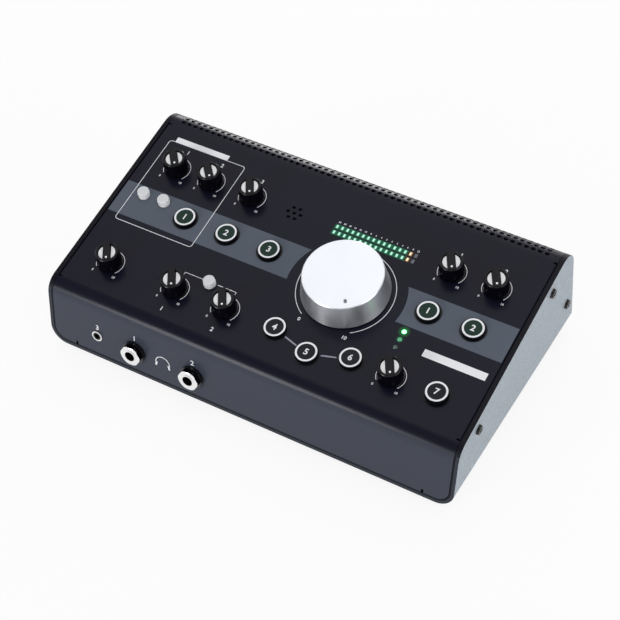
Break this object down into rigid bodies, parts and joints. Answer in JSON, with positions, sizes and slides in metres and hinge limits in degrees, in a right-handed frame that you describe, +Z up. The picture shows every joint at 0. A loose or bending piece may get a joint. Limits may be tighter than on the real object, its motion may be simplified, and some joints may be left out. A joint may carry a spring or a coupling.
{
  "type": "studio monitor controller",
  "caption": "Desktop studio monitor controller: sloping control panel with a large volume dial, small dials, ring buttons, level meter, front headphone sockets and rear connectors.",
  "frame": {"origin": "on the desk, under the middle of the overall box at rest", "axes": "+Z up, -Y towards the user (the front face with the headphone sockets), +X to the user's right, along the width"},
  "size_m": [0.2968, 0.1872, 0.0916],
  "materials": {
    "tray_paint": "silver grey powder coat, edges and front lip dark",
    "shell_paint": "satin black powder coat",
    "board": "green circuit board",
    "zinc": "zinc plated",
    "pot_case": "satin",
    "bright_nut": "polished chrome",
    "switch_plastic": "matte black",
    "knob_plastic": "satin black",
    "shaft_metal": "turned",
    "volume_metal": "satin silver",
    "cap_plastic": "satin black with a white printed ring",
    "white_plastic": "satin white",
    "bezel_plastic": "gloss black",
    "green_lens": "lit green, one amber",
    "socket_plastic": "matte black",
    "usb_metal": "nickel plated",
    "screw_black": "black oxide",
    "foot_rubber": "matte black"
  },
  "bodies": {
    "case": {"chassis_tray": "tray_paint", "top_shell": "shell_paint", "main_board": "board", "jack_board": "board", "headphone_board": "board", "board_spacers": "zinc", "board_screws": "zinc", "panel_pots": "pot_case", "volume_pot_nut": "zinc", "panel_switches": "switch_plastic", "meter_lenses": "green_lens", "status_lenses": "green_lens", "talkback_mic": "switch_plastic", "button_bezels": "bezel_plastic", "headphone_jacks": "socket_plastic", "headphone_jack_collars": "socket_plastic", "headphone_jack_nuts": "bright_nut", "mini_jack": "socket_plastic", "mini_jack_nut": "bright_nut", "line_jacks": "socket_plastic", "line_jack_nuts": "bright_nut", "combo_jacks": "socket_plastic", "usb_port": "usb_metal", "dc_inlet": "socket_plastic", "power_switch": "switch_plastic", "case_screws": "screw_black", "rubber_feet": "foot_rubber"},
    "volume_dial": {"volume_knob": "volume_metal", "volume_shaft": "shaft_metal"},
    "gain_dial_1": {"gain_knob_1": "knob_plastic", "gain_shaft_1": "shaft_metal"},
    "gain_dial_2": {"gain_knob_2": "knob_plastic", "gain_shaft_2": "shaft_metal"},
    "line_trim_dial": {"line_trim_knob": "knob_plastic", "line_trim_shaft": "shaft_metal"},
    "monitor_trim_dial_a": {"monitor_trim_knob_a": "knob_plastic", "monitor_trim_shaft_a": "shaft_metal"},
    "monitor_trim_dial_b": {"monitor_trim_knob_b": "knob_plastic", "monitor_trim_shaft_b": "shaft_metal"},
    "blend_dial": {"blend_knob": "knob_plastic", "blend_shaft": "shaft_metal"},
    "phones_dial_1": {"phones_knob_1": "knob_plastic", "phones_shaft_1": "shaft_metal"},
    "phones_dial_2": {"phones_knob_2": "knob_plastic", "phones_shaft_2": "shaft_metal"},
    "talkback_dial": {"talkback_knob": "knob_plastic", "talkback_shaft": "shaft_metal"},
    "source_button_1_cap": {"source_button_1": "cap_plastic"},
    "source_button_2_cap": {"source_button_2": "cap_plastic"},
    "source_button_3_cap": {"source_button_3": "cap_plastic"},
    "monitor_button_a_cap": {"monitor_button_a": "cap_plastic"},
    "monitor_button_b_cap": {"monitor_button_b": "cap_plastic"},
    "mono_button_cap": {"mono_button": "cap_plastic"},
    "mute_button_cap": {"mute_button": "cap_plastic"},
    "dim_button_cap": {"dim_button": "cap_plastic"},
    "cue_button_cap": {"cue_button": "cap_plastic"},
    "phantom_button_plunger": {"phantom_button": "white_plastic"},
    "stereo_button_plunger": {"stereo_button": "white_plastic"},
    "phones_source_button_plunger": {"phones_source_button": "white_plastic"},
    "rocker": {"power_rocker": "bezel_plastic"}
  },
  "joints": [
    {"name": "volume_turn", "type": "hinge", "parent": "case", "child": "volume_dial", "pos_m": [0.0323, -0.01362, 0.06742], "axis": [0, -0.2343, 0.9722], "range_deg": [0, 296]},
    {"name": "gain_dial_1_turn", "type": "hinge", "parent": "case", "child": "gain_dial_1", "pos_m": [-0.11675, 0.02478, 0.07667], "axis": [0, -0.2343, 0.9722], "range_deg": [-8, 292]},
    {"name": "gain_dial_2_turn", "type": "hinge", "parent": "case", "child": "gain_dial_2", "pos_m": [-0.08995, 0.02478, 0.07667], "axis": [0, -0.2343, 0.9722], "range_deg": [-11, 289]},
    {"name": "line_trim_dial_turn", "type": "hinge", "parent": "case", "child": "line_trim_dial", "pos_m": [-0.0584, 0.02478, 0.07667], "axis": [0, -0.2343, 0.9722], "range_deg": [0, 300]},
    {"name": "monitor_trim_dial_a_turn", "type": "hinge", "parent": "case", "child": "monitor_trim_dial_a", "pos_m": [0.0864, 0.02478, 0.07667], "axis": [0, -0.2343, 0.9722], "range_deg": [0, 300]},
    {"name": "monitor_trim_dial_b_turn", "type": "hinge", "parent": "case", "child": "monitor_trim_dial_b", "pos_m": [0.11685, 0.02478, 0.07667], "axis": [0, -0.2343, 0.9722], "range_deg": [0, 300]},
    {"name": "blend_dial_turn", "type": "hinge", "parent": "case", "child": "blend_dial", "pos_m": [-0.11675, -0.056, 0.0572], "axis": [0, -0.2343, 0.9722], "range_deg": [0, 300]},
    {"name": "phones_dial_1_turn", "type": "hinge", "parent": "case", "child": "phones_dial_1", "pos_m": [-0.0675, -0.056, 0.0572], "axis": [0, -0.2343, 0.9722], "range_deg": [0, 300]},
    {"name": "phones_dial_2_turn", "type": "hinge", "parent": "case", "child": "phones_dial_2", "pos_m": [-0.0303, -0.056, 0.0572], "axis": [0, -0.2343, 0.9722], "range_deg": [0, 300]},
    {"name": "talkback_dial_turn", "type": "hinge", "parent": "case", "child": "talkback_dial", "pos_m": [0.0864, -0.056, 0.0572], "axis": [0, -0.2343, 0.9722], "range_deg": [0, 300]},
    {"name": "source_button_1_push", "type": "slide", "parent": "case", "child": "source_button_1_cap", "axis": [0, -0.2343, 0.9722], "range_m": [-0.0012, 0], "stiffness_N_per_m": 1600},
    {"name": "source_button_2_push", "type": "slide", "parent": "case", "child": "source_button_2_cap", "axis": [0, -0.2343, 0.9722], "range_m": [-0.0012, 0], "stiffness_N_per_m": 1600},
    {"name": "source_button_3_push", "type": "slide", "parent": "case", "child": "source_button_3_cap", "axis": [0, -0.2343, 0.9722], "range_m": [-0.0012, 0], "stiffness_N_per_m": 1600},
    {"name": "monitor_button_a_push", "type": "slide", "parent": "case", "child": "monitor_button_a_cap", "axis": [0, -0.2343, 0.9722], "range_m": [-0.0012, 0], "stiffness_N_per_m": 1600},
    {"name": "monitor_button_b_push", "type": "slide", "parent": "case", "child": "monitor_button_b_cap", "axis": [0, -0.2343, 0.9722], "range_m": [-0.0012, 0], "stiffness_N_per_m": 1600},
    {"name": "mono_button_push", "type": "slide", "parent": "case", "child": "mono_button_cap", "axis": [0, -0.2343, 0.9722], "range_m": [-0.0012, 0], "stiffness_N_per_m": 1600},
    {"name": "mute_button_push", "type": "slide", "parent": "case", "child": "mute_button_cap", "axis": [0, -0.2343, 0.9722], "range_m": [-0.0012, 0], "stiffness_N_per_m": 1600},
    {"name": "dim_button_push", "type": "slide", "parent": "case", "child": "dim_button_cap", "axis": [0, -0.2343, 0.9722], "range_m": [-0.0012, 0], "stiffness_N_per_m": 1600},
    {"name": "cue_button_push", "type": "slide", "parent": "case", "child": "cue_button_cap", "axis": [0, -0.2343, 0.9722], "range_m": [-0.0012, 0], "stiffness_N_per_m": 1600},
    {"name": "phantom_button_push", "type": "slide", "parent": "case", "child": "phantom_button_plunger", "axis": [0, -0.2343, 0.9722], "range_m": [-0.0025, 0]},
    {"name": "stereo_button_push", "type": "slide", "parent": "case", "child": "stereo_button_plunger", "axis": [0, -0.2343, 0.9722], "range_m": [-0.0025, 0]},
    {"name": "phones_source_button_push", "type": "slide", "parent": "case", "child": "phones_source_button_plunger", "axis": [0, -0.2343, 0.9722], "range_m": [-0.0025, 0]},
    {"name": "power_rocker_tip", "type": "hinge", "parent": "case", "child": "rocker", "pos_m": [0.129, 0.08125, 0.04399], "axis": [1, 0, 0], "range_deg": [-18, 0]}
  ]
}
